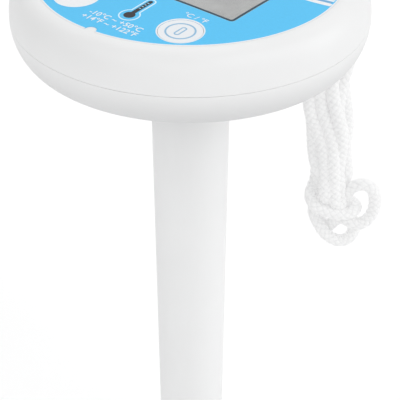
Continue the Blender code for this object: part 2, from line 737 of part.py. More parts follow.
def lump(name, centre, half_sizes, material, steps=14):
    """A rounded lump of tied cord."""
    shape = bmesh.new()
    bmesh.ops.create_uvsphere(shape, u_segments=steps, v_segments=steps // 2, radius=1.0)
    turn = Matrix.Rotation(HANK_ACROSS_ANGLE, 4, "Z")
    scale = Matrix.Diagonal((*half_sizes, 1.0))
    bmesh.ops.transform(shape, matrix=Matrix.Translation(centre) @ turn @ scale, verts=shape.verts)
    return place(name, finish_mesh(name, shape), material)


def make_cord_ends(material):
    """The knot that stops the cord inside the eye, and the short lead out through the eye."""
    stop_radius = EYE_INNER - END_KNOT_GAP - END_KNOT_RADIUS
    lump("cord_stop_knot", eye_point(stop_radius, EYE_HEIGHT), [END_KNOT_RADIUS] * 3, material)
    lead = [eye_point(EYE_INNER - GAP, EYE_HEIGHT), eye_point(EYE_OUTER, EYE_HEIGHT)]
    lead += [eye_point(*place_at) for place_at in LEAD_BENDS]
    lead += [eye_point(LEAD_BENDS[-1][0], HANK_TOP + GAP)]
    tube("cord_lead", lead, CORD_RADIUS, material, LEAD_OUT_SPACING)


def make_hank(material):
    """The folded runs of the cord as one rounded block."""
    tall = HANK_TOP - HANK_BOTTOM
    outline = rounded_outline(HANK_WIDTH, tall, HANK_WIDTH * 0.44, 5)
    stand = Matrix.Rotation(math.pi / 2, 4, "X")
    turn = Matrix.Rotation(HANK_ACROSS_ANGLE, 4, "Z")
    middle = Matrix.Translation(hank_point(HANK_SHIFT, 0, (HANK_TOP + HANK_BOTTOM) / 2))
    back = Matrix.Translation((0, HANK_DEPTH / 2, 0))
    hank = prism("cord_hank", outline, HANK_DEPTH, material, middle @ turn @ back @ stand)
    rounding = hank.modifiers.new("Round edges", "BEVEL")
    rounding.width = HANK_ROUNDING
    rounding.segments = 2
    rounding.limit_method = "ANGLE"
    rounding.angle_limit = math.radians(60)


def make_cord(material):
    """The tether: a stop knot, a lead through the eye, a hank, a knot, its loops and its tied end."""
    make_cord_ends(material)
    make_hank(material)
    lump("cord_knot", hank_point(*KNOT_PLACE), KNOT_HALF_SIZES, material)
    for name, points in (
        ("cord_side_loop", SIDE_LOOP),
        ("cord_bottom_loop", BOTTOM_LOOP),
        ("cord_tail", TAIL),
    ):
        tube(name, [hank_point(*point) for point in points], CORD_RADIUS, material, LOOP_SPACING)
    lump("cord_end_knot", hank_point(*END_KNOT), [END_KNOT_RADIUS] * 3, material)


def build():
    """Make every piece of the thermometer."""
    clear_scene()
    white = make_material("white_plastic", (0.86, 0.87, 0.87), 0.35)
    key_white = make_material("key_plastic", (0.84, 0.86, 0.88), 0.4)
    blue = make_material("printed_film", (0.13, 0.58, 0.90), 0.3)
    clear = make_material("clear_plastic", (0.80, 0.82, 0.84), 0.08, 0.0, 0.4)
    glass = make_material("display_panel", (0.48, 0.50, 0.48), 0.25)
    rubber = make_material("rubber", (0.05, 0.05, 0.055), 0.7)
    grey = make_material("grommet_rubber", (0.25, 0.26, 0.27), 0.7)
    metal = make_material("bright_metal", (0.72, 0.72, 0.70), 0.25, 1.0)
    steel = make_material("ballast_metal", (0.30, 0.30, 0.31), 0.5, 1.0)
    green = make_material("board", (0.03, 0.22, 0.10), 0.45)
    black = make_material("black_plastic", (0.02, 0.02, 0.02), 0.5)
    lead = make_material("lead_insulation", (0.55, 0.05, 0.04), 0.5)
    cord = make_material("braided_cord", (0.90, 0.90, 0.90), 0.85)

    make_upper_shell(white)
    make_lower_shell(white)
    gasket_middle = (INNER_SIDE + GASKET_SIDE) / 2
    ring("shell_gasket", gasket_middle, SEAM_HEIGHT, GASKET_HALF_WIDE, GASKET_HALF_TALL, rubber)
    for number, (x, y) in enumerate(CASE_SCREW_PLACES):
        head_low = UNDERSIDE_HEIGHT + SINK_DEPTH - GAP - CASE_SCREW[1]
        make_screw(f"case_screw_{number + 1}", x, y, head_low, CASE_SCREW, metal)
    for number, (x, y) in enumerate(BOARD_SCREW_PLACES):
        head_low = BOARD_LOW - GAP - BOARD_SCREW[1]
        make_screw(f"board_screw_{number + 1}", x, y, head_low, BOARD_SCREW, metal)
    make_face(key_white, blue, clear, rubber)
    make_board(green)
    make_display(key_white, glass, rubber)
    make_board_parts(metal, black)
    make_stem(white, rubber, steel)
    make_end_cap(white, rubber)
    make_probe(metal, grey)
    make_leads(lead)
    make_cord(cord)


build()
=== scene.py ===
"""Looks of the floating pool thermometer: fine shells, printed face, display and braided cord."""

import json
import math

import bmesh
import bpy
import numpy as np
from mathutils import Matrix, Vector


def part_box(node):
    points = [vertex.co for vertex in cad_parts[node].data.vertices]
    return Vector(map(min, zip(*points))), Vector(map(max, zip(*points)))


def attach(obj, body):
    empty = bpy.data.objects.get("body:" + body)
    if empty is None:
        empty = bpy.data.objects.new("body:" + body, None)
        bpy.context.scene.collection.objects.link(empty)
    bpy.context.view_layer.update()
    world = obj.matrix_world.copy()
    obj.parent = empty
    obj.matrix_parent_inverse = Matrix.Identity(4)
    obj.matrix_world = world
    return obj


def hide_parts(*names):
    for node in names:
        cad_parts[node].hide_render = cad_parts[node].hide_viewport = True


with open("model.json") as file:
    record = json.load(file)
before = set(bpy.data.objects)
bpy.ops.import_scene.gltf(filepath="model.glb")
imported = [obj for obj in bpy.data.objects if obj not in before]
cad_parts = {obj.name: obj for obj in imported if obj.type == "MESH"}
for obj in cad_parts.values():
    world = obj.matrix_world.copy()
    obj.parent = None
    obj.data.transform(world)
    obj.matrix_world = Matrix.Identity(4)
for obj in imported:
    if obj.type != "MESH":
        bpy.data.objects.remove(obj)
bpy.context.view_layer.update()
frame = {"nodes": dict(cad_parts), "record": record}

MM = 0.001

# ---------------------------------------- sizes, from the frame
upper_low, upper_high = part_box("upper_shell")
lower_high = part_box("lower_shell")[1]
film_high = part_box("face_label")[1]
window_low, window_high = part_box("display_window")
key_low, key_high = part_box("button_cap")
stem_low, stem_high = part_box("stem_tube")
cap_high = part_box("stem_end_cap")[1]
panel_low, panel_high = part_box("display_glass")

FLOAT_RADIUS = upper_high[0]
SEAM = (upper_low[2] + lower_high[2]) / 2
FACE_RADIUS = film_high[0]
FACE_TOP = film_high[2]
FACE_DOME = 1.1 * MM
FACE_EDGE = FACE_TOP - FACE_DOME
THROUGH_FACE = (FACE_EDGE - 9 * MM, FACE_TOP + 5 * MM)
FILM = 0.12 * MM
FILM_GAP = 0.12 * MM
UNDERSIDE = 190.6 * MM
FLAT_RADIUS = 48.5 * MM
PLATE_RADIUS = 44.6 * MM
UPPER_ROUNDNESS = 2.3
LOWER_ROUNDNESS = 1.855
WALL = 2.2 * MM
SIDE_WALL = 3 * MM
LEDGE = 1.1 * MM
GAP = 0.3 * MM
SEAM_GAP = 0.04 * MM
SEAM_GROOVE = 0.10 * MM
NOTCH_PLACE = (1.7 * MM, -46.5 * MM)
NOTCH_RADIUS = 1.8 * MM
STEM_FOOT_RADIUS = cap_high[0]
KEY_MIDDLE = ((key_low[0] + key_high[0]) / 2, (key_low[1] + key_high[1]) / 2)
KEY_RADIUS = 6.4 * MM
KEY_GAP = 0.12 * MM
SCREW_RING = 40 * MM
SCREW_ANGLES = [math.radians(15 + 90 * turn) for turn in range(4)]
EYE_ANGLE = math.radians(60)
EYE_RADIUS, EYE_HEIGHT = 49.0, 185.0  # in mm, as the cord's points are
VIEW_TURN = math.radians(39)
ACROSS = Vector((math.cos(VIEW_TURN), math.sin(VIEW_TURN), 0))
AWAY = Vector((-math.sin(VIEW_TURN), math.cos(VIEW_TURN), 0))
UP = Vector((0, 0, 1))


# ---------------------------------------- node helpers
class Nodes:
    """A short way to build one material's node tree."""

    def __init__(self, name, colour, roughness, metallic=0.0):
        self.material = bpy.data.materials.new(name)
        self.material.use_nodes = True
        self.tree = self.material.node_tree
        self.shader = self.tree.nodes["Principled BSDF"]
        self.set("Base Color", (*colour, 1))
        self.set("Roughness", roughness)
        self.set("Metallic", metallic)
        self.place = self.add("ShaderNodeTexCoord").outputs["Object"]

    def set(self, socket, value):
        """Give one of the shader's inputs a fixed value."""
        self.shader.inputs[socket].default_value = value

    def add(self, kind, **settings):
        """Add a node with its settings."""
        node = self.tree.nodes.new(kind)
        for key, value in settings.items():
            setattr(node, key, value)
        return node

    def link(self, source, target):
        """Join two sockets."""
        self.tree.links.new(source, target)

    def feed(self, socket, source):
        """Drive one of the shader's inputs from a node."""
        self.link(source, self.shader.inputs[socket])

    def multiply(self, one, other):
        """The product of two colours."""
        node = self.add("ShaderNodeMix", data_type="RGBA", blend_type="MULTIPLY")
        node.inputs["Factor"].default_value = 1.0
        self.link(one, node.inputs["A"])
        self.link(other, node.inputs["B"])
        return node.outputs["Result"]

    def noise(self, scale, detail=3.0, rough=0.5, stretch=None):
        """Noise in the object's own space, about one grain per 1/scale metres."""
        node = self.add("ShaderNodeTexNoise")
        node.inputs["Scale"].default_value = scale
        node.inputs["Detail"].default_value = detail
        node.inputs["Roughness"].default_value = rough
        source = self.place
        if stretch:
            mapping = self.add("ShaderNodeMapping")
            mapping.inputs["Scale"].default_value = stretch
            self.link(source, mapping.inputs["Vector"])
            source = mapping.outputs["Vector"]
        self.link(source, node.inputs["Vector"])
        return node.outputs["Fac"]

    def ramp(self, source, stops):
        """Map a factor to colours at stops of (place, colour)."""
        node = self.add("ShaderNodeValToRGB")
        band = node.color_ramp
        while len(band.elements) < len(stops):
            band.elements.new(0.5)
        for element, (where, colour) in zip(band.elements, stops):
            element.position = where
            element.color = (*colour, 1)
        self.link(source, node.inputs["Fac"])
        return node.outputs["Color"]

    def remap(self, source, low, high):
        """Stretch a 0 to 1 factor to a range."""
        node = self.add("ShaderNodeMapRange")
        node.inputs["To Min"].default_value = low
        node.inputs["To Max"].default_value = high
        self.link(source, node.inputs["Value"])
        return node.outputs["Result"]

    def bump(self, source, distance, strength=1.0):
        """Raise the surface by a factor times a distance in metres."""
        node = self.add("ShaderNodeBump")
        node.inputs["Strength"].default_value = strength
        node.inputs["Distance"].default_value = distance
        self.link(source, node.inputs["Height"])
        previous = self.shader.inputs["Normal"].links
        if previous:
            self.link(previous[0].from_socket, node.inputs["Normal"])
        self.feed("Normal", node.outputs["Normal"])


def tones(colour, below, above):
    """Ramp stops from a colour made darker to the same colour made lighter."""
    return [(0.3, [part * below for part in colour]), (0.7, [min(1.0, part * above) for part in colour])]


def moulded(name, colour, roughness, grain=0.006 * MM, vary=0.012):
    """Moulded plastic: faint flow marks, fine grain and uneven gloss."""
    nodes = Nodes(name, colour, roughness)
    nodes.feed("Base Color", nodes.ramp(nodes.noise(38, 3), tones(colour, 1 - vary, 1 + vary)))
    nodes.feed("Roughness", nodes.remap(nodes.noise(160, 4), roughness * 0.85, roughness * 1.2))
    nodes.bump(nodes.noise(2600, 3, 0.6), grain)
    nodes.bump(nodes.noise(60, 2), 0.03 * MM, 0.4)
    return nodes


def paint_shade_downward(nodes):
    """Painted shade: grey the float's lower half a little, darker towards its underside."""
    height = nodes.add("ShaderNodeSeparateXYZ")
    nodes.link(nodes.place, height.inputs["Vector"])
    level = nodes.remap(height.outputs["Z"], 0, 1)
    level.node.inputs["From Min"].default_value = UNDERSIDE
    level.node.inputs["From Max"].default_value = SEAM
    # Painted shade: the base colour falls to 0.78 at the underside and rises to full at the seam.
    tone = nodes.ramp(level, [(0.0, (0.78, 0.78, 0.785)), (0.45, (0.87, 0.87, 0.872)), (1.0, (1, 1, 1))])
    plain = nodes.shader.inputs["Base Color"].links[0].from_socket
    nodes.feed("Base Color", nodes.multiply(plain, tone))


def metal(name, colour, roughness, stretch=(1, 1, 20)):
    """Metal with fine lines turned round its axis, or an even grain where there is no stretch."""
    nodes = Nodes(name, colour, roughness, 1.0)
    lines = nodes.noise(900, 4, 0.6, stretch)
    nodes.feed("Roughness", nodes.remap(lines, roughness * 0.7, roughness * 1.4))
    nodes.feed("Base Color", nodes.ramp(nodes.noise(120), tones(colour, 0.88, 1.06)))
    nodes.bump(lines, 0.01 * MM)
    return nodes


def printed(name, colour, roughness=0.32):
    """A layer of ink under a satin film."""
    nodes = Nodes(name, colour, roughness)
    nodes.feed("Base Color", nodes.ramp(nodes.noise(1400, 3, 0.6), tones(colour, 0.975, 1.025)))
    nodes.feed("Roughness", nodes.remap(nodes.noise(90, 3), roughness * 0.8, roughness * 1.2))
    nodes.bump(nodes.noise(3200, 2), 0.004 * MM)
    return nodes


def panel_look():
    """The grey display panel, a little cloudy."""
    nodes = Nodes("display panel", (0.41, 0.42, 0.41), 0.22)
    cloud = nodes.noise(70, 3, 0.55)
    nodes.feed("Base Color", nodes.ramp(cloud, [(0.30, (0.29, 0.29, 0.286)), (0.70, (0.43, 0.432, 0.422))]))
    nodes.bump(nodes.noise(2500, 2), 0.003 * MM)
    return nodes


def window_look():
    """The clear window, which shows what is behind it."""
    nodes = Nodes("window", (0.92, 0.94, 0.95), 0.06)
    nodes.set("Alpha", 0.09)
    nodes.set("IOR", 1.49)
    nodes.feed("Roughness", nodes.remap(nodes.noise(300, 3), 0.04, 0.10))
    return nodes


def cord_look():
    """White fibre with painted shade in the braid's grooves; a faint painted glow stands for light that
    passes through.
    """
    nodes = Nodes("braided cord", (0.86, 0.86, 0.86), 0.8)
    fibre = nodes.noise(5200, 3, 0.65)
    tone = nodes.ramp(fibre, [(0.30, (0.56, 0.56, 0.562)), (0.70, (0.61, 0.61, 0.61))])
    # Painted shade: the braid's relief darkens the base colour in the grooves, down to 0.88 at the deepest.
    groove = nodes.add("ShaderNodeVertexColor", layer_name="painted_crevice_shade").outputs["Color"]
    painted_groove_shade = nodes.ramp(groove, [(0.05, (0.88, 0.88, 0.885)), (0.75, (1, 1, 1))])
    nodes.feed("Base Color", nodes.multiply(tone, painted_groove_shade))
    # Painted glow: the cord gives off light of its own at strength 0.30, though it is no lamp.
    nodes.set("Emission Color", (1, 1, 1, 1))
    nodes.set("Emission Strength", 0.30)
    nodes.set("Specular IOR Level", 0.2)
    nodes.bump(fibre, 0.05 * MM, 0.7)
    return nodes


def make_materials():
    """Every surface of the thermometer, by the record's material slot or its own name."""
    made = {"display_panel": panel_look(), "clear_plastic": window_look(), "braided_cord": cord_look()}
    made["white_plastic"] = moulded("white plastic", (0.76, 0.763, 0.765), 0.42)
    # The lower shell's plastic, with painted shade greying it towards its underside.
    made["plastic with painted underside shade"] = moulded("plastic with painted underside shade", (0.76, 0.763, 0.765), 0.42)
    paint_shade_downward(made["plastic with painted underside shade"])
    made["key_plastic"] = moulded("key plastic", (0.745, 0.765, 0.79), 0.42)
    made["printed_film"] = printed("blue print", (0.075, 0.49, 0.82))
    made["white print"] = printed("white print", (0.78, 0.785, 0.80), 0.38)
    made["soft print"] = printed("soft print", (0.62, 0.80, 0.90), 0.38)
    made["pale print"] = printed("pale print", (0.36, 0.70, 0.90), 0.38)
    made["dark print"] = printed("dark print", (0.030, 0.026, 0.030), 0.4)
    made["ring print"] = printed("ring print", (0.25, 0.45, 0.63), 0.4)
    made["steel blue print"] = printed("steel blue print", (0.16, 0.36, 0.60), 0.4)
    made["outline print"] = printed("outline print", (0.022, 0.058, 0.085), 0.5)
    made["digit print"] = printed("display digits", (0.012, 0.013, 0.014), 0.35)
    made["rubber"] = moulded("seal rubber", (0.045, 0.045, 0.05), 0.65, 0.01 * MM, 0.1)
    made["black_plastic"] = moulded("black plastic", (0.02, 0.02, 0.022), 0.5, 0.01 * MM, 0.1)
    made["lead_insulation"] = moulded("lead insulation", (0.5, 0.04, 0.03), 0.45, 0.004 * MM, 0.05)
    made["board"] = moulded("board lacquer", (0.02, 0.17, 0.07), 0.3, 0.01 * MM, 0.15)
    made["bright_metal"] = metal("bright steel", (0.70, 0.70, 0.69), 0.28)
    made["ballast_metal"] = metal("cast ballast", (0.30, 0.30, 0.31), 0.55, None)
    return {name: nodes.material for name, nodes in made.items()}


MATERIALS = make_materials()
SLOT_OF = {row["node"]: row["material_slot"] for row in frame["record"]["subparts"]}


# ---------------------------------------- mesh helpers
def add_object(name, data):
    """A new object in the scene."""
    thing = bpy.data.objects.new(name, data)
    bpy.context.scene.collection.objects.link(thing)
    return thing


def shaped(helper):
    """The mesh of a helper object as its modifiers or its curve settings make it."""
    bpy.context.view_layer.update()
    graph = bpy.context.evaluated_depsgraph_get()
    return bpy.data.meshes.new_from_object(helper.evaluated_get(graph))


def place(name, mesh, look, node=None, body="root", angle=30):
    """Link a mesh as a shown piece with its material, its body and the CAD nodes it stands for."""
    mesh.materials.clear()
    mesh.materials.append(MATERIALS[look])
    mesh.shade_smooth()
    mesh.set_sharp_from_angle(angle=math.radians(angle))
    piece = add_object(name, mesh)
    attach(piece, body)
    nodes = [node] if isinstance(node, str) else list(node or ())
    if nodes:
        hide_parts(*nodes)
    return piece


def to_mesh(shape, name="mesh"):
    """A clean mesh from a bmesh, with its walls facing out."""
    bmesh.ops.remove_doubles(shape, verts=shape.verts, dist=1e-7)
    bmesh.ops.recalc_face_normals(shape, faces=shape.faces)
    mesh = bpy.data.meshes.new(name)
    shape.to_mesh(mesh)
    shape.free()
    return mesh


def turned(profile, steps=192, centre=(0, 0)):
    """A mesh from a closed profile of (radius, height) points, spun round an upright axis."""
    shape = bmesh.new()
    points = [shape.verts.new((radius, 0, height)) for radius, height in profile]
    edges = [shape.edges.new((a, b)) for a, b in zip(points, points[1:])]
    if profile[0][0] > 1e-9 or profile[-1][0] > 1e-9:
        edges.append(shape.edges.new((points[-1], points[0])))
    upright = {"axis": (0, 0, 1), "cent": (0, 0, 0)}
    bmesh.ops.spin(shape, geom=points + edges, steps=steps, angle=math.tau, use_merge=True, **upright)
    bmesh.ops.translate(shape, verts=shape.verts, vec=(*centre, 0))
    return to_mesh(shape, "turned")


def rounded(profile, radius, steps=4):
    """Round the corners of a closed profile by a radius, or by less beside a short side."""
    corners = [Vector(point) for point in profile]
    done = []
    for before, here, after in zip(corners[-1:] + corners, corners, corners[1:] + corners[:1]):
        reach = min(radius, (before - here).length * 0.45, (after - here).length * 0.45)
        start = here + (before - here).normalized() * reach
        end = here + (after - here).normalized() * reach
        for step in range(steps + 1):
            t = step / steps
            done.append(tuple(start * (1 - t) ** 2 + here * 2 * t * (1 - t) + end * t**2))
    return done


def outline_box(width, height, corner, centre=(0, 0), steps=6):
    """Points round a rounded rectangle, anticlockwise."""
    points = []
    for quarter in range(4):
        side_x = (1, -1, -1, 1)[quarter]
        side_y = (1, 1, -1, -1)[quarter]
        for step in range(steps + 1):
            angle = math.radians(90 * (quarter + step / steps))
            x = side_x * (width / 2 - corner) + corner * math.cos(angle)
            y = side_y * (height / 2 - corner) + corner * math.sin(angle)
            points.append((centre[0] + x, centre[1] + y))
    return points


def outline_circle(radius, centre=(0, 0), steps=64):
    """Points round a circle, anticlockwise."""
    angles = [math.tau * step / steps for step in range(steps)]
    return [(centre[0] + radius * math.cos(a), centre[1] + radius * math.sin(a)) for a in angles]


def bridge(shape, one, other):
    """Join two closed loops of as many points by a band of faces."""
    for i in range(len(one)):
        j = (i + 1) % len(one)
        shape.faces.new((one[i], one[j], other[j], other[i]))


def prism(outline, low, high, inner=None):
    """A mesh between two heights inside an outline, or between it and an inner one."""
    shape = bmesh.new()
    loops = [outline] if inner is None else [outline, inner]
    rings = []
    for loop in loops:
        rings.append([[shape.verts.new((x, y, z)) for x, y in loop] for z in (low, high)])
    for bottom, top in rings:
        bridge(shape, bottom, top)
    for level in (0, 1):
        if inner is None:
            shape.faces.new(rings[0][level])
        else:
            bridge(shape, rings[0][level], rings[1][level])
    return to_mesh(shape, "prism")


def cut(mesh, tools, operation="DIFFERENCE"):
    """Cut a mesh with others, or join or trim it by them, and return the result."""
    target = add_object("target", mesh)
    helpers = [target]
    for tool in tools:
        helper = add_object("tool", tool)
        helpers.append(helper)
        step = target.modifiers.new("cut", "BOOLEAN")
        step.operation = operation
        step.solver = "EXACT"
        step.object = helper
    result = shaped(target)
    for helper in helpers:
        bpy.data.objects.remove(helper)
    return result


def rod(radius, low, high, centre=(0, 0), steps=48):
    """An upright cylinder as a mesh."""
    return prism(outline_circle(radius, centre, steps), low, high)


def side_curve(outer, inner, start, end, roundness, steps):
    """Points of a rounded side, from (outer, start) to (inner, end)."""
    points = []
    for step in range(steps + 1):
        angle = math.pi / 2 * step / steps
        across = max(math.cos(angle), 0.0) ** (2 / roundness)
        along = math.sin(angle) ** (2 / roundness)
        points.append((inner + (outer - inner) * across, start + (end - start) * along))
    return points


def face_height(x, y=0.0):
    """Height of the domed face."""
    return FACE_TOP - FACE_DOME * (x * x + y * y) / FACE_RADIUS**2


def dome_points(edge, drop, steps=12):
    """Points of the dome from its edge to its middle, a drop below the face."""
    radii = [edge * (1 - step / steps) for step in range(steps + 1)]
    return [(radius, face_height(radius) - drop) for radius in radii]


# ---------------------------------------- the float
DISPLAY_WIDTH = window_high[0] - window_low[0]
DISPLAY_TALL = window_high[1] - window_low[1]
DISPLAY_MIDDLE = (0.0, (window_high[1] + window_low[1]) / 2)
DISPLAY_CORNER = 1.1 * MM


def display_outline(border, corner, steps=6):
    """Points round the display opening, moved out by a border."""
    size = (DISPLAY_WIDTH + 2 * border, DISPLAY_TALL + 2 * border)
    return outline_box(*size, corner, DISPLAY_MIDDLE, steps)


def display_block(border):
    """A tall block through the display opening, wider by a border."""
    return prism(display_outline(border, DISPLAY_CORNER + border), *THROUGH_FACE)


def key_block(radius):
    """A tall cylinder through the key's hole."""
    return rod(radius, *THROUGH_FACE, KEY_MIDDLE, 64)


def seam_edge(side):
    """The softened edge of a shell at the seam; side is 1 above it and -1 below it."""
    seam = SEAM + side * SEAM_GAP
    soft = (FLOAT_RADIUS - SEAM_GROOVE * 0.25, seam + side * SEAM_GROOVE * 0.4)
    return [(FLOAT_RADIUS - SEAM_GROOVE, seam), soft]


def make_upper_shell():
    """The top half: a full round rim, a thin lip round the film and the face plate's openings."""
    rim = FACE_RADIUS + FILM_GAP
    plate_drop = FILM + 0.02 * MM
    outside = side_curve(FLOAT_RADIUS, rim, SEAM + SEAM_GAP, FACE_EDGE, UPPER_ROUNDNESS, 40)
    outside[:1] = seam_edge(1)
    ceiling = dome_points(PLATE_RADIUS, plate_drop + WALL, 6)
    wall = FLOAT_RADIUS - SIDE_WALL
    inside = side_curve(wall, PLATE_RADIUS, SEAM + LEDGE, ceiling[0][1], UPPER_ROUNDNESS, 16)
    ledge = FLOAT_RADIUS - LEDGE
    profile = ceiling[::-1] + inside[-2::-1]
    profile += [(ledge, SEAM + LEDGE), (ledge, SEAM + SEAM_GAP)]
    profile += outside + dome_points(rim, plate_drop)
    shell = cut(turned(profile), [display_block(GAP), key_block(KEY_RADIUS + KEY_GAP)])
    place("upper_shell_skin", shell, "white_plastic", node="upper_shell")


def make_eye():
    """The tab that the cord ties to, rounded at its foot, and the hole through it."""
    thick, hole_radius = 4.0 * MM, 2.8 * MM
    middle = EYE_RADIUS * MM
    turn = Matrix.Rotation(EYE_ANGLE, 4, "Z")
    stand = Matrix.Rotation(math.pi / 2, 4, "Y") @ Matrix.Rotation(math.pi / 2, 4, "Z")
    outline = outline_box(9 * MM, 16 * MM, 4 * MM, steps=10)
    tab = prism(outline, 0, thick)
    tab.transform(turn @ Matrix.Translation((middle - thick / 2, 0, 188.5 * MM)) @ stand)
    top = prism(outline_box(30 * MM, 30 * MM, 1 * MM, (middle, 0)), 192.3 * MM, 203 * MM)
    top.transform(turn)
    hole = rod(hole_radius, -8 * MM, 8 * MM)
    lie = Matrix.Rotation(math.pi / 2, 4, "Y")
    hole.transform(turn @ Matrix.Translation((middle, 0, EYE_HEIGHT * MM)) @ lie)
    return cut(tab, [top]), hole


def make_lower_shell():
    """The bottom half: the deep rounded side, sunk screw holes, the stem's hole and the cord's eye."""
    hole = 10.2 * MM
    line = 0.4 * MM
    floor = UNDERSIDE + WALL
    seam = SEAM - SEAM_GAP
    outside = side_curve(FLOAT_RADIUS, FLAT_RADIUS, seam, UNDERSIDE, LOWER_ROUNDNESS, 40)
    outside[:1] = seam_edge(-1)
    ring = [(20 * MM, UNDERSIDE), (19.6 * MM, UNDERSIDE + line), (19.0 * MM, UNDERSIDE + line)]
    ring += [(18.6 * MM, UNDERSIDE)]
    wall = FLOAT_RADIUS - SIDE_WALL
    inside = side_curve(wall, FLAT_RADIUS - WALL, SEAM - LEDGE, floor, LOWER_ROUNDNESS, 16)
    ledge = FLOAT_RADIUS - LEDGE
    profile = outside + ring + [(hole + line, UNDERSIDE), (hole, UNDERSIDE + line), (hole, floor)]
    profile += inside[::-1] + [(ledge, SEAM - LEDGE), (ledge, seam)]
    places = [(SCREW_RING * math.cos(a), SCREW_RING * math.sin(a)) for a in SCREW_ANGLES]
    tab, eye_hole = make_eye()
    posts = [rod(4.2 * MM, floor - 1 * MM, seam, where) for where in places]
    shell = cut(turned(profile), posts + [tab], "UNION")
    mouth, bore, shank = 3.5 * MM, 2.9 * MM, 1.7 * MM
    below, above, seat = 188 * MM, 205 * MM, UNDERSIDE + 4 * MM
    sink = [(0, below), (mouth, below), (mouth, UNDERSIDE - 0.01 * MM), (bore, UNDERSIDE + 0.6 * MM)]
    sink += [(bore, seat), (shank, seat), (shank, above), (0, above)]
    shell = cut(shell, [turned(sink, 40, where) for where in places] + [eye_hole])
    # The lower shell wears the plastic with painted shade, darker towards its underside.
    place("lower_shell_skin", shell, "plastic with painted underside shade", node="lower_shell")


def screw_profile(base, end):
    """Half the outline of a pan-head screw that points up, from its head to its tip."""
    head, shank, core, pitch = 2.5 * MM, 1.3 * MM, 1.05 * MM, 0.9 * MM
    neck = base + 1.8 * MM
    points = [(0, base), (1.5 * MM, base + 0.08 * MM), (2.2 * MM, base + 0.4 * MM), (head, base + 1.0 * MM)]
    points += [(head, neck), (shank, neck)]
    for turn in range(int((end - base - 2.4 * MM) / pitch)):
        step = base + 2.2 * MM + turn * pitch
        points += [(core, step), (shank, step + pitch / 2)]
    return points + [(1.0 * MM, end - 0.6 * MM), (0, end)]


def make_screws():
    """Pan-head case screws with a cross recess, sunk in the underside."""
    recess_long, recess_wide, recess_deep = 3.0 * MM, 0.62 * MM, 1.0 * MM
    for number, angle in enumerate(SCREW_ANGLES):
        node = f"case_screw_{number + 1}"
        low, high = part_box(node)
        x, y = (low[0] + high[0]) / 2, (low[1] + high[1]) / 2
        turn = Matrix.Translation((x, y, 0)) @ Matrix.Rotation(angle + 0.6 * number, 4, "Z")
        bars = []
        for size in ((recess_wide, recess_long), (recess_long, recess_wide)):
            bar = prism(outline_box(*size, 0.2 * MM, steps=3), low[2] - 1 * MM, low[2] + recess_deep)
            bar.transform(turn)
            bars.append(bar)
        screw = turned(screw_profile(low[2], high[2]), 48, (x, y))
        place(f"{node}_fine", cut(screw, bars), "bright_metal", node=node)


# ---------------------------------------- the printed face
INK = 0.03 * MM
INK_ROOT = 0.08 * MM
BORDER = (46.55 * MM, 47.03 * MM)
SPOT_RADIUS = 6.95 * MM


def on_face(mesh, lift=INK, body="root", name="print", look="white print"):
    """Bend a flat print from heights 0 and 1 onto the dome, standing proud by a lift."""
    for vertex in mesh.vertices:
        x, y, level = vertex.co
        vertex.co.z = face_height(x, y) + (lift if level > 0.5 else -INK_ROOT)
    return place(name, mesh, look, body=body)


def lettering(text, size, centre, name, bold=0.0):
    """Small printed text, centred on a place on the face."""
    curve = bpy.data.curves.new(name, "FONT")
    curve.body = text
    curve.size = size
    curve.align_x = curve.align_y = "CENTER"
    curve.offset = bold
    curve.resolution_u = 3
    curve.extrude = 0.5
    helper = add_object(name, curve)
    mesh = shaped(helper)
    bpy.data.objects.remove(helper)
    mesh.transform(Matrix.Translation((*centre, 0.5)))
    shape = bmesh.new()
    shape.from_mesh(mesh)
    return on_face(to_mesh(shape, name), name=name)


def at(u, v):
    """A place on the face, as fractions of the float's radius from its middle."""
    return (u * FLOAT_RADIUS, v * FLOAT_RADIUS)


def make_film():
    """The blue film with its openings and locating notch."""
    profile = dome_points(FACE_RADIUS, FILM, 20)[::-1] + dome_points(FACE_RADIUS, 0, 20)
    notch = rod(NOTCH_RADIUS, *THROUGH_FACE, NOTCH_PLACE, 40)
    film = cut(turned(profile, 160), [display_block(GAP), key_block(KEY_RADIUS + KEY_GAP), notch])
    place("face_film", film, "printed_film", node="face_label")


def make_frames():
    """The prints round the display, the key and the whole film, and the white spot left of the key."""
    outer, inner = display_outline(0.05 * MM, 1.2 * MM, 8), display_outline(-0.575 * MM, 0.6 * MM, 8)
    on_face(fine_band(outer, inner), name="display_outline", look="outline print")
    ring = prism(outline_circle(BORDER[1], steps=160), 0, 1, outline_circle(BORDER[0], steps=160))
    on_face(cut(ring, [rod(NOTCH_RADIUS, -1, 2, NOTCH_PLACE, 40)]), name="border")
    on_face(prism(outline_circle(SPOT_RADIUS, at(-0.273, -0.611), 96), 0, 1), name="left_spot")
    shift = 0.2 * MM
    round_key = (KEY_MIDDLE[0] + shift * AWAY.x, KEY_MIDDLE[1] + shift * AWAY.y)
    rim = outline_circle(KEY_RADIUS + KEY_GAP, KEY_MIDDLE, 96)
    on_face(prism(outline_circle(SPOT_RADIUS, round_key, 96), 0, 1, rim), name="key_surround")


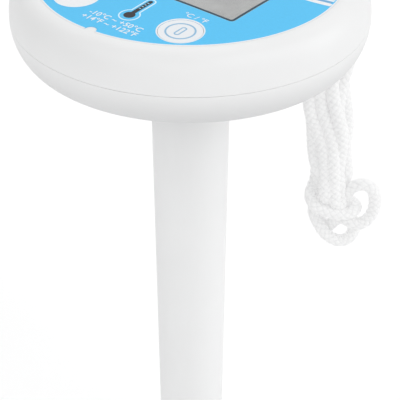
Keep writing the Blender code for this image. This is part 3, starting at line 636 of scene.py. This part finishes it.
def make_marks():
    """The thermometer mark and the lettering."""
    bulb, tip = at(0.090, -0.610), at(0.087, -0.437)
    for name, bulb_radius, tube_radius, look, lift in (
        ("thermometer_halo", 3.25, 1.7, "soft print", INK),
        ("thermometer_rim", 2.85, 1.25, "printed_film", INK * 1.6),
        ("thermometer_core", 1.75, 0.72, "dark print", INK * 2.2),
    ):
        shape = bulb_outline(bulb, tip, bulb_radius * MM, tube_radius * MM)
        on_face(prism(shape, 0, 1), lift, name=name, look=look)
    mark_size, first, apart = (0.75 * MM, 0.3 * MM), 1.0 * MM, 1.25 * MM
    for step in range(4):
        mark = outline_box(*mark_size, 0.1 * MM, (tip[0], tip[1] - first - apart * step), 2)
        on_face(prism(mark, 0, 1), INK * 2.8, name=f"thermometer_mark_{step}", look="pale print")

    lettering("-10°C ~ +50°C", 3.1 * MM, at(0.073, -0.698), "range_celsius", bold=0.02 * MM)
    lettering("+14°F ~ +122°F", 3.1 * MM, at(0.073, -0.752), "range_fahrenheit", bold=0.02 * MM)
    lettering("°C / °F", 3.0 * MM, at(0.378, -0.424), "key_caption")


def bulb_outline(bulb, tip, bulb_radius, tube_radius, steps=28):
    """Points round a thermometer mark: a round bulb with a straight tube and a round tip."""
    open_half = math.asin(tube_radius / bulb_radius)
    start = math.pi / 2 + open_half
    points = []
    for step in range(steps + 1):
        angle = start + (math.tau - 2 * open_half) * step / steps
        points.append((bulb[0] + bulb_radius * math.cos(angle), bulb[1] + bulb_radius * math.sin(angle)))
    for step in range(steps // 2 + 1):
        angle = math.pi * step / (steps // 2)
        points.append((tip[0] + tube_radius * math.cos(angle), tip[1] + tube_radius * math.sin(angle)))
    return points


def fine_band(outer, inner, longest=3 * MM):
    """A flat band between two outlines, with points close enough to follow the dome."""
    a, b = [], []
    for i in range(len(outer)):
        p, q = Vector(outer[i]), Vector(outer[(i + 1) % len(outer)])
        r, s = Vector(inner[i]), Vector(inner[(i + 1) % len(inner)])
        parts = max(1, math.ceil((q - p).length / longest))
        for part in range(parts):
            a.append(tuple(p.lerp(q, part / parts)))
            b.append(tuple(r.lerp(s, part / parts)))
    return prism(a, 0, 1, b)


def wave_height(x, rise):
    """How far up the face a wave line lies at x, where rise sets the line, in float radii."""
    reach = x / FLOAT_RADIUS - 0.84
    return (0.138 + 0.30 * reach + 0.55 * reach**2 + rise) * FLOAT_RADIUS


def wave_band(low, high, look, name):
    """A curved band of print that crosses the upper face, from rim to rim."""
    thinnest, longest = 0.02 * MM, 3 * MM
    edge = FACE_RADIUS - 0.45 * MM
    shape = bmesh.new()
    columns = []
    steps = 110
    for step in range(steps + 1):
        x = -edge + 2 * edge * step / steps
        room = math.sqrt(max(edge * edge - x * x, 0.0))
        bottom = min(max(wave_height(x, low), -room), room)
        top = min(max(wave_height(x, high), -room), room)
        if top - bottom < thinnest:
            if columns:
                break
            continue
        rows = max(1, math.ceil((high - low) * FLOAT_RADIUS / longest))
        columns.append([(x, bottom + (top - bottom) * row / rows) for row in range(rows + 1)])
    grid = [[[shape.verts.new((x, y, z)) for x, y in column] for column in columns] for z in (0, 1)]
    rows = len(columns[0]) - 1
    for i in range(len(columns) - 1):
        for j in range(rows):
            for level in grid:
                shape.faces.new((level[i][j], level[i + 1][j], level[i + 1][j + 1], level[i][j + 1]))
        for j in (0, rows):
            shape.faces.new((grid[0][i][j], grid[0][i + 1][j], grid[1][i + 1][j], grid[1][i][j]))
    for i in (0, len(columns) - 1):
        for j in range(rows):
            shape.faces.new((grid[0][i][j], grid[0][i][j + 1], grid[1][i][j + 1], grid[1][i][j]))
    clear = prism(display_outline(1.3 * MM, 2 * MM), -1, 2)
    on_face(cut(to_mesh(shape), [clear]), name=name, look=look)


def make_waves():
    """The wave lines of the upper face."""
    wave_band(0.0, 0.032, "white print", "wave_white")
    wave_band(0.035, 0.053, "steel blue print", "wave_steel")
    wave_band(0.058, 0.080, "white print", "wave_pale")
    wave_band(0.090, 0.106, "steel blue print", "wave_second_steel")
    wave_band(0.112, 1.2, "white print", "wave_sky")


def make_key():
    """The key with its flange and stub, and the ring and bar printed on it."""
    low = key_low[2]
    top = FACE_TOP + 1 * MM
    stub, flange = 1.6 * MM, 7.4 * MM
    flange_low, flange_high = low + 0.2 * MM, low + 0.9 * MM
    profile = [(0, low), (stub, low), (stub, flange_low), (flange, flange_low)]
    profile += [(flange, flange_high), (KEY_RADIUS, flange_high), (KEY_RADIUS, top), (0, top)]
    block = turned(profile, 96, KEY_MIDDLE)
    dome = turned([(0, low - 1 * MM), (FACE_RADIUS, low - 1 * MM)] + dome_points(FACE_RADIUS, 0, 40), 160)
    mesh = cut(block, [dome], "INTERSECT")
    place("key_cap", mesh, "key_plastic", node="button_cap", body="button")
    ring_outer, ring_inner = [outline_circle(radius * MM, KEY_MIDDLE, 96) for radius in (4.50, 3.96)]
    on_face(prism(ring_outer, 0, 1, ring_inner), INK, "button", "key_ring", "ring print")
    bar_outer = outline_box(1.9 * MM, 4.9 * MM, 0.9 * MM, KEY_MIDDLE, 10)
    bar_inner = outline_box(1.0 * MM, 4.0 * MM, 0.45 * MM, KEY_MIDDLE, 10)
    on_face(prism(bar_outer, 0, 1, bar_inner), INK, "button", "key_bar", "ring print")


# ---------------------------------------- the display
DIGIT_ROOT = 0.02 * MM
SEGMENTS = {"2": "abged", "5": "afgcd", "6": "afgedc", "C": "afed"}


def make_display():
    """The clear window, the grey panel and its dark digits."""
    under = window_low[2]
    profile = [(0, under), (FACE_RADIUS, under)] + dome_points(FACE_RADIUS, 0, 20)
    lens = cut(turned(profile, 160), [display_block(0)], "INTERSECT")
    place("window_lens", lens, "clear_plastic", node="display_window")
    top = panel_high[2]
    middle = (0.0, (panel_high[1] + panel_low[1]) / 2)
    size = (panel_high[0] - panel_low[0], panel_high[1] - panel_low[1])
    panel = prism(outline_box(*size, 0.8 * MM, middle), panel_low[2], top)
    place("display_panel", panel, "display_panel", node="display_glass")

    digit, unit = 14 * MM, 7.0 * MM
    for number, (text, x) in enumerate((("2", -19.5), ("6", -8.6), ("5", 3.9))):
        seven_segments(f"digit_{number}", text, x * MM, 1.4 * MM, digit, top)
    low, high = top - DIGIT_ROOT, top + INK
    dot = prism(outline_circle(0.95 * MM, (-3.0 * MM, -5.4 * MM), 24), low, high)
    place("digit_point", dot, "digit print")
    outer, inner = [outline_circle(radius * MM, (11.6 * MM, 7.2 * MM), 32) for radius in (1.25, 0.75)]
    place("degree_mark", prism(outer, low, high, inner), "digit print")
    seven_segments("unit_mark", "C", 16.0 * MM, 4.9 * MM, unit, top)


def seven_segments(name, text, x, y, height, level):
    """One display digit from straight dark bars with pointed ends."""
    half, wide, thick = height / 2, height * 0.27, height * 0.075
    lean, joint = 0.08, thick * 0.22
    places = {"a": (0, half), "g": (0, 0), "d": (0, -half)}
    places |= {"f": (-wide, half / 2), "b": (wide, half / 2), "e": (-wide, -half / 2), "c": (wide, -half / 2)}
    shape = bmesh.new()
    for key in SEGMENTS[text]:
        cx, cy = places[key]
        upright = key in "fbec"
        reach = (half / 2 if upright else wide) - joint
        bar = [(-reach, 0), (-reach + thick, -thick), (reach - thick, -thick)]
        bar += [(reach, 0), (reach - thick, thick), (-reach + thick, thick)]
        if upright:
            bar = [(-q, p) for p, q in bar]
        flat = [(x + cx + p + lean * (cy + q), y + cy + q) for p, q in bar]
        bottom = [shape.verts.new((p, q, level - DIGIT_ROOT)) for p, q in flat]
        top = [shape.verts.new((p, q, level + INK)) for p, q in flat]
        shape.faces.new(bottom)
        shape.faces.new(top)
        bridge(shape, bottom, top)
    place(name, to_mesh(shape, name), "digit print")


# ---------------------------------------- the stem
def in_mm(*points):
    """Profile points given in mm."""
    return [(radius * MM, height * MM) for radius, height in points]


def make_stem():
    """The tapered stem with its neck inside the float, and the seal between them."""
    foot, top = stem_low[2], stem_high[2]
    shoulder = 189.4 * MM
    bore, shoulder_radius, neck, neck_bore = 9.4 * MM, 12.7 * MM, 9.9 * MM, 8.1 * MM
    profile = [(bore, foot), (STEM_FOOT_RADIUS, foot), (shoulder_radius, shoulder), (neck, shoulder)]
    profile += [(neck, top), (neck_bore, top), (neck_bore, shoulder - 2 * MM), (10.6 * MM, shoulder - 5 * MM)]
    place("stem_skin", turned(rounded(profile, 0.35 * MM), 128), "white_plastic", node="stem_tube")
    inner, outer, low, high = 10.2 * MM, 12.1 * MM, shoulder + GAP, UNDERSIDE - GAP
    seal = [(inner, low), (outer, low), (outer, high), (inner, high)]
    place("stem_seal", turned(rounded(seal, 0.15 * MM), 96), "rubber", node="stem_gasket")


def make_end_cap():
    """The slotted end cap: its flat foot, water chamber, probe holder and groove for the seal."""
    edge, bevel = 1.1 * MM, 0.3 * MM
    high = stem_low[2] - GAP
    profile = [(0, 0)] + side_curve(STEM_FOOT_RADIUS, STEM_FOOT_RADIUS - edge, edge, 0, 2, 8)[::-1]
    profile += [(STEM_FOOT_RADIUS, high - bevel), (STEM_FOOT_RADIUS - bevel, high), (9.1 * MM, high)]
    profile += in_mm((9.1, 30.0), (7.7, 30.0), (7.7, 32.2), (9.1, 32.2), (9.1, 36))
    profile += in_mm((4, 36), (4, 22), (8.5, 22), (8.5, 3), (0, 3))
    slot_tall, slot_wide, slot_middle, reach = 14 * MM, 3 * MM, 12.5 * MM, 20 * MM
    lie = Matrix.Translation((-reach, 0, slot_middle)) @ Matrix.Rotation(math.pi / 2, 4, "Y")
    slots = []
    for number in range(3):
        slot = prism(outline_box(slot_tall, slot_wide, 1.45 * MM, steps=8), 0, 2 * reach)
        slot.transform(Matrix.Rotation(math.tau * number / 6, 4, "Z") @ lie)
        slots.append(slot)
    place("end_cap_skin", cut(turned(profile, 128), slots), "white_plastic", node="stem_end_cap")


def make_probe():
    """The round-ended probe and the grommet that holds it."""
    probe_low, probe_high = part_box("sensor_probe")
    radius, base, end = probe_high[0], probe_low[2], probe_high[2]
    tip = side_curve(radius, 0, base + radius, base, 2, 10)
    tip[-1] = (0, base)
    place("probe_skin", turned([(0, end), (radius, end)] + tip, 64), "bright_metal", node="sensor_probe")
    grommet = in_mm((2.6, 20.6), (5.2, 20.6), (5.2, 21.7), (3.7, 21.7), (3.7, 35.2), (2.6, 35.2))
    place("grommet_skin", turned(rounded(grommet, 0.25 * MM), 64), "rubber", node="sensor_grommet")


# ---------------------------------------- the braided cord
CORD = 4.0 * MM
HANK_OUT = 50.7 * MM
HANK_CENTRE = Vector((HANK_OUT * math.cos(EYE_ANGLE), HANK_OUT * math.sin(EYE_ANGLE), 0))

# The hank's runs in the order that the cord takes them: (across, away) in mm, and the height in mm
# of the fold that joins each one to the next. The folds are at the bottom and the top by turns.
HANK_RUNS = (
    (5.2, 0.2, 125.0), (-2.6, 0.0, 174.5), (2.9, -3.9, 117.8), (-0.9, -4.1, 178.5),
    (3.1, 3.8, 129.5), (-6.4, 0.0, 174.5), (-0.8, 3.9, 119.8), (-4.6, -3.8, 171.5),
    (1.3, 0.0, 128.5), (5.9, 3.5, 179.0), (-4.7, 3.9, 131.0),
)
RUN_TOP = 177.0
RUN_BOTTOM = 124.0
HANK_TWIST = math.radians(24)

# The loops below the hank: (across, away, height as seen from the front) in mm.
FRONT_SLOPE = 0.68
LOOPS = (
    (-4.4, 1.6, 126.4), (-6.2, -1.2, 122.0), (-5.4, -3.6, 117.6), (-1.2, -4.6, 114.6),
    (2.8, -4.6, 113.4), (7.4, -4.1, 113.1), (10.4, -1.9, 115.5), (9.0, 2.4, 118.0),
    (3.8, 5.0, 119.6), (-1.0, 5.2, 118.8), (-4.2, 3.8, 116.8), (-4.2, 1.8, 113.4),
    (-2.3, 0.4, 108.9), (0.7, -0.2, 103.9), (4.9, -0.4, 101.5), (8.3, -0.3, 102.5),
    (10.4, 0.4, 105.6), (9.7, 1.3, 109.6), (8.6, 1.7, 113.4), (6.6, 0.6, 117.2),
    (6.2, -0.8, 121.2), (8.6, -2.6, 124.8), (12.2, -3.3, 125.6), (15.1, -3.2, 123.8),
    (16.4, -2.8, 118.9), (15.9, -2.5, 113.6), (13.8, -2.8, 110.0), (11.5, -3.0, 108.6),
    (8.8, -2.4, 109.4), (6.2, -0.2, 111.6), (3.8, 2.6, 111.2), (2.4, 3.8, 108.8),
    (1.0, 4.6, 107.2), (-0.6, 5.4, 107.2), (-1.4, 6.2, 108.6), (-1.2, 7.3, 110.6),
    (-1.0, 8.0, 113.4),
)

# The knots at the cord's two ends.
KNOT_TURNS = 1.75
KNOT_SPREAD = 2.15 * MM
KNOT_LENGTH = 7.2 * MM

# How the hank's runs settle: the distance that they are pushed to, how far along the cord its own
# neighbours reach, the lengths at both ends that stay put, and the shares of each step's push.
APART = CORD * 0.80
OWN_REACH = CORD * 1.9
HELD_START = 40 * MM
HELD_END = 28 * MM
PUSH_SHARE, HOME_SHARE, BEND_SHARE = 0.28, 0.05, 0.12
SETTLE_ROUNDS = 150

# The braid: strands round the cord, the length of one turn, and how far the grooves lie below the
# cord's plain radius and the strands above the grooves.
BRAID_STRANDS = 5
BRAID_PITCH = 6.0 * MM
BRAID_DEPTH = 0.24 * MM
BRAID_HEIGHT = 0.49 * MM


def hank_point(across, away, height):
    """A point from its place across and behind the hank and its height, all in mm."""
    return HANK_CENTRE + (ACROSS * across + AWAY * away + UP * height) * MM


def eye_point(radius, height):
    """A point straight out from the axis through the cord's eye, in mm."""
    return Vector((radius * math.cos(EYE_ANGLE), radius * math.sin(EYE_ANGLE), height)) * MM


def tied_end(start, along, side):
    """Points of a wound knot: the cord turns round its own line from a start, in mm along a direction."""
    other = along.cross(side)
    steps = round(10 * KNOT_TURNS)
    points = []
    for step in range(steps + 1):
        turn = math.tau * KNOT_TURNS * step / steps
        spread = KNOT_SPREAD * min(1.0, step / 3)
        ahead = KNOT_LENGTH * step / steps
        points.append(start + along * ahead + (side * math.cos(turn) + other * math.sin(turn)) * spread)
    return points


def run_point(run, height, phase):
    """A point on one run of the hank, which narrows and leans as it goes down, twists a little and sways."""
    down = (RUN_TOP - height) / (RUN_TOP - RUN_BOTTOM)
    spread = 1.0 - 0.12 * down - 0.38 * down**3
    lean = -0.9 + 0.4 * down + 2.9 * down**3 - 1.9 * max(0.0, 1 - ((down - 0.27) / 0.3) ** 2)
    sway = 1.1 * math.sin(8 * down + phase)
    dip = 0.6 * math.sin(7 * down + 2 * phase)
    turn = HANK_TWIST * (down - 0.5)
    across = run[0] * math.cos(turn) - run[1] * math.sin(turn)
    away = run[1] * math.cos(turn) + run[0] * math.sin(turn)
    return hank_point(across * spread + lean + sway, away * (1.0 - 0.08 * down) + dip, height)


def fold_points(run, following, level, side, phase):
    """Points of the fold from one run to the next; side is 1 for a top fold and -1 for a bottom one."""
    points = []
    for t, drop in ((0.06, 2.1), (0.5, 0), (0.94, 2.1)):
        across = run[0] + (following[0] - run[0]) * t
        away = run[1] + (following[1] - run[1]) * t
        points.append(run_point((across, away), level - side * drop, phase))
    return points


def cord_route():
    """The cord's own points: out of the eye, up and down the hank, round its loops and tucked behind."""
    outward = Vector((math.cos(EYE_ANGLE), math.sin(EYE_ANGLE), 0))
    points = tied_end(eye_point(45.6, EYE_HEIGHT), -outward, UP)[::-1]
    points += [eye_point(*spot) for spot in ((48.5, 185), (51, 185), (53.4, 183.8), (54.6, 180.8))]
    level = RUN_TOP + 2.4
    fold, steps = 5.0, 7
    for number, run in enumerate(HANK_RUNS):
        side = 1 if number % 2 else -1
        phase = 0.25 * run[0] + 0.8 * run[1]
        start, end = level + side * fold, run[2] - side * fold
        points += [run_point(run, start + (end - start) * step / steps, phase) for step in range(steps + 1)]
        level = run[2]
        if number + 1 < len(HANK_RUNS):
            points += fold_points(run, HANK_RUNS[number + 1], level, side, phase)
    points += [hank_point(across, away, seen - FRONT_SLOPE * away) for across, away, seen in LOOPS]
    ahead = (points[-1] - points[-2]).normalized()
    points += tied_end(points[-1] + ahead * 1.5 * MM, ahead, ahead.orthogonal().normalized())
    return points


def smooth(points, spacing):
    """Evenly spaced points of a smooth curve through given points, as an array."""
    ends = [points[0] * 2 - points[1]] + list(points) + [points[-1] * 2 - points[-2]]
    fine, parts = [], 24
    for a, b, c, d in zip(ends, ends[1:], ends[2:], ends[3:]):
        for t in (step / parts for step in range(parts)):
            pull = (c - a) * t + (a * 2 - b * 5 + c * 4 - d) * t**2 + (b * 3 - a - c * 3 + d) * t**3
            fine.append(tuple(b + pull / 2))
    fine.append(tuple(points[-1]))
    return respace(np.array(fine), spacing)


def lengths_along(points):
    """The length along a line at each of its points."""
    steps = np.linalg.norm(np.diff(points, axis=0), axis=1)
    return np.concatenate([[0], np.cumsum(steps)])


def respace(points, spacing):
    """The same line with points a fixed distance apart."""
    walked = lengths_along(points)
    count = max(2, int(round(walked[-1] / spacing)))
    where = np.linspace(0, walked[-1], count + 1)
    return np.stack([np.interp(where, walked, points[:, axis]) for axis in range(3)], axis=1)


def settle(points, spacing):
    """Push the cord's runs apart until they press on each other only a little, as a tied bundle does."""
    home = points.copy()
    count = len(points)
    order = np.arange(count)
    near = np.abs(order[:, None] - order[None, :]) * spacing < OWN_REACH
    fixed = (order * spacing < HELD_START) | ((count - order) * spacing < HELD_END)
    for _ in range(SETTLE_ROUNDS):
        apart = points[:, None, :] - points[None, :, :]
        gaps = np.sqrt((apart**2).sum(axis=2)) + 1e-9
        overlap = np.clip(APART - gaps, 0, None)
        overlap[near] = 0
        push = (apart / gaps[:, :, None] * overlap[:, :, None]).sum(axis=1) * PUSH_SHARE
        push += (home - points) * HOME_SHARE
        bend = np.zeros_like(points)
        bend[1:-1] = (points[:-2] + points[2:]) / 2 - points[1:-1]
        push += bend * BEND_SHARE
        push[fixed] = 0
        points = points + push
        points[fixed] = home[fixed]
    return points


def frames_along(points):
    """Two directions square to a line at each of its points, which turn as little as they can."""
    along = np.gradient(points, axis=0)
    along /= np.linalg.norm(along, axis=1)[:, None]
    side = np.cross(along[0], [0, 0, 1.0])
    sides = []
    for direction in along:
        side = side - direction * side.dot(direction)
        side /= np.linalg.norm(side)
        sides.append(side)
    sides = np.array(sides)
    return sides, np.cross(along, sides)


def braid_relief(angle, length):
    """Height from 0 to 1 of the plaited surface at an angle round the cord and a length along it."""
    one = BRAID_STRANDS * angle / math.tau + length * BRAID_STRANDS / (2 * BRAID_PITCH)
    two = BRAID_STRANDS * angle / math.tau - length * BRAID_STRANDS / (2 * BRAID_PITCH)
    over = (np.floor(one) + np.floor(two)) % 2 == 0
    wide = np.where(over, one % 1, two % 1) * 2 - 1
    long = np.where(over, two % 1, one % 1) * 2 - 1
    crown = np.sqrt(np.clip(1 - wide**2 * 0.98, 0, 1))
    return crown * np.sqrt(np.clip(1 - 0.92 * long**4, 0, 1))


def braided_tube(points, around=56):
    """A closed tube along points, with a plaited surface and round ends."""
    sides, ups = frames_along(points)
    length = lengths_along(points)
    angles = np.arange(around) * math.tau / around
    relief = braid_relief(angles[None, :], length[:, None])
    ends = np.minimum(length, length[-1] - length) / (CORD / 2)
    close = np.sqrt(np.clip(1 - (1 - np.clip(ends, 0.02, 1)) ** 2, 0, 1))
    radius = (CORD / 2 - BRAID_DEPTH + BRAID_HEIGHT * relief) * close[:, None]
    ring = np.cos(angles)[:, None] * sides[:, None, :] + np.sin(angles)[:, None] * ups[:, None, :]
    verts = (points[:, None, :] + ring * radius[:, :, None]).reshape(-1, 3)
    rows = len(points)
    base = np.arange(rows - 1)[:, None] * around + np.arange(around)[None, :]
    turn = np.arange(rows - 1)[:, None] * around + (np.arange(around)[None, :] + 1) % around
    faces = np.stack([base, turn, turn + around, base + around], axis=2).reshape(-1, 4).tolist()
    faces.append(list(range(around))[::-1])
    faces.append(list(range((rows - 1) * around, rows * around)))
    mesh = bpy.data.meshes.new("braid")
    mesh.from_pydata(verts.tolist(), [], faces)
    # The relief goes into a colour attribute that the cord's material uses for painted shade in the grooves.
    tone = mesh.color_attributes.new("painted_crevice_shade", "FLOAT_COLOR", "POINT")
    painted_crevice_shades = np.repeat(relief.reshape(-1, 1), 4, axis=1)
    painted_crevice_shades[:, 3] = 1
    tone.data.foreach_set("color", painted_crevice_shades.astype(np.float32).ravel())
    return mesh


def make_cord():
    """The free cord, from the eye under the rim to the knot at its end."""
    coarse, fine = 1.2 * MM, 0.25 * MM
    route = respace(settle(smooth(cord_route(), coarse), coarse), fine)
    nodes = [row for row in SLOT_OF if row.startswith("cord_")]
    cord = place("tether_cord", braided_tube(route), "braided_cord", node=nodes, angle=180)


# ---------------------------------------- the stage
FLOOR_REACH = 25.0
# The studio's lights: name, direction (across, away, up), power, spread in degrees, and whether
# glossy surfaces show it.
LIGHTS = (
    ("right light", (2.0, 0, 0.7), 0.76, 40, True),
    ("front light", (-0.25, -2.0, 1.05), 0.39, 32, True),
    ("high right light", (1.2, -1.0, 1.6), 0.66, 40, True),
    ("high left light", (-1.4, -1.0, 1.6), 0.58, 40, True),
    ("back light", (0, 1.5, 1.5), 1.04, 45, False),
)


def make_floor():
    """A plain pale floor under the foot."""
    shape = bmesh.new()
    bmesh.ops.create_grid(shape, x_segments=1, y_segments=1, size=FLOOR_REACH)
    mesh = to_mesh(shape, "floor")
    nodes = Nodes("floor", (0.89, 0.89, 0.89), 0.8)
    nodes.set("Emission Color", (1, 1, 1, 1))
    nodes.set("Emission Strength", 0.04)
    nodes.bump(nodes.noise(400), 0.02 * MM)
    mesh.materials.append(nodes.material)
    floor = add_object("floor", mesh)
    floor.location = (0, 0, -0.2 * MM)


def make_lights():
    """Even studio light from all round."""
    world = bpy.context.scene.world or bpy.data.worlds.new("studio")
    bpy.context.scene.world = world
    world.use_nodes = True
    sky = world.node_tree.nodes["Background"].inputs
    sky["Color"].default_value = (1, 1, 1, 1)
    sky["Strength"].default_value = 0.50
    for name, (across, away, up), power, spread, mirrored in LIGHTS:
        lamp = bpy.data.lights.new(name, "SUN")
        lamp.energy = power
        lamp.angle = math.radians(spread)
        holder = add_object(name, lamp)
        direction = ACROSS * across + AWAY * away + UP * up
        holder.rotation_euler = direction.to_track_quat("Z", "Y").to_euler()
        holder.visible_glossy = mirrored


def make_camera():
    """The camera, a long lens looking down at the float from in front of the key."""
    distance, height = 7.27015 * FLOAT_RADIUS, SEAM + 3.60464 * FLOAT_RADIUS
    pitch, swing, roll = math.radians(33.922), -0.00766, 0.00171
    camera = bpy.data.cameras.new("camera")
    camera.sensor_width = 36
    camera.lens = 130.5
    holder = add_object("camera", camera)
    holder.matrix_world = (
        Matrix.Translation(UP * height - AWAY * distance)
        @ Matrix.Rotation(VIEW_TURN + swing, 4, "Z")
        @ Matrix.Rotation(math.pi / 2 - pitch, 4, "X")
        @ Matrix.Rotation(roll, 4, "Z")
    )
    bpy.context.scene.camera = holder


def dress_nodes():
    """Give every CAD node that stays shown its procedural material."""
    for name, node in frame["nodes"].items():
        node.data.materials.clear()
        node.data.materials.append(MATERIALS[SLOT_OF[name]])


make_camera()
make_cord()
make_upper_shell()
make_lower_shell()
make_screws()
make_film()
make_frames()
make_marks()
make_waves()
make_key()
make_display()
make_stem()
make_end_cap()
make_probe()
dress_nodes()
make_floor()
make_lights()
bpy.context.scene.view_settings.view_transform = "Standard"
